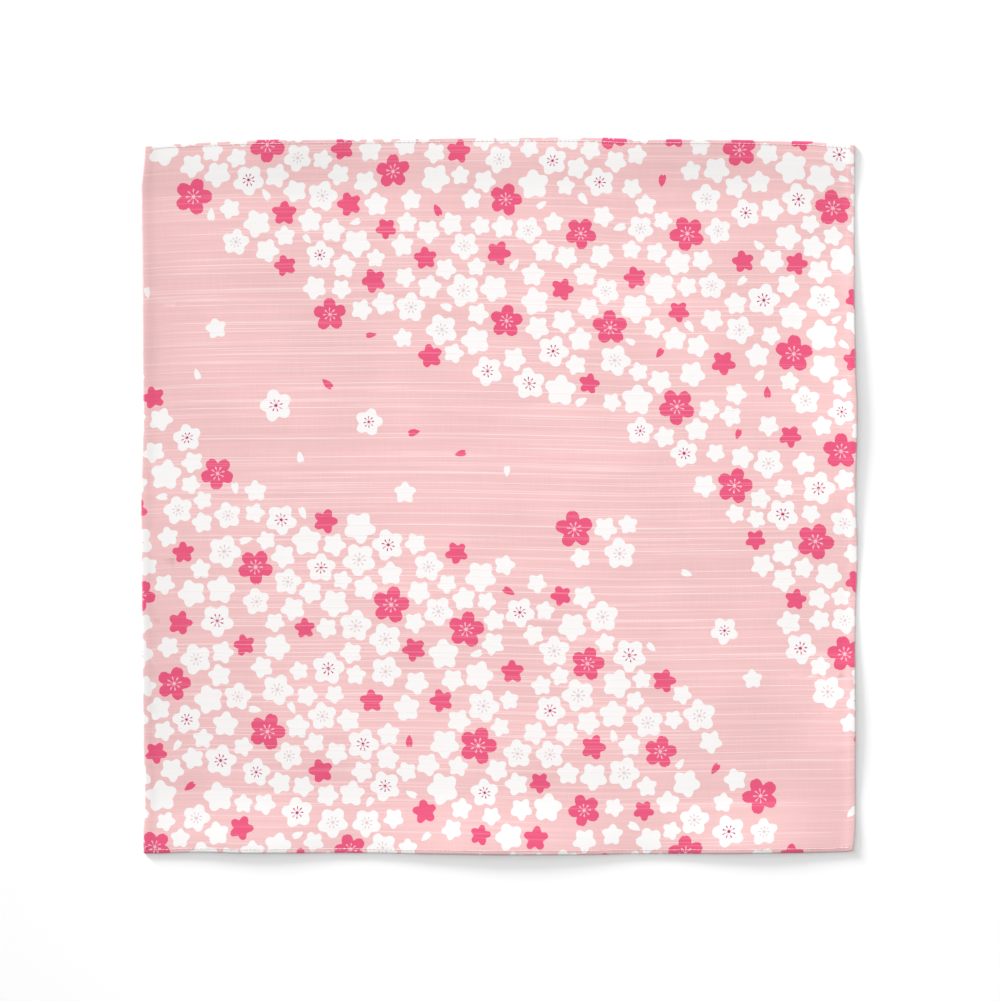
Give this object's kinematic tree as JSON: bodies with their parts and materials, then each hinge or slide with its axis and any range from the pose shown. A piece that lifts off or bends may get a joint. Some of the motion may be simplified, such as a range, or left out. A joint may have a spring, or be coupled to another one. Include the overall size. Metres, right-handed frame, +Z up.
{
  "type": "furoshiki wrapping cloth",
  "caption": "Square wrapping cloth of printed slub cotton, opened out and laid flat, with woven selvedges left and right and narrow stitched hems near and far.",
  "frame": {"origin": "on the surface the cloth lies on, under the middle of the cloth's box", "axes": "+X from the left selvedge to the right one, +Y from the near hem to the far one, +Z up, out of the printed right side"},
  "size_m": [0.5044, 0.5052, 0.0039],
  "materials": {
    "cloth": "matt printed slub cotton"
  },
  "bodies": {
    "root": {"cloth": "cloth"}
  },
  "joints": []
}
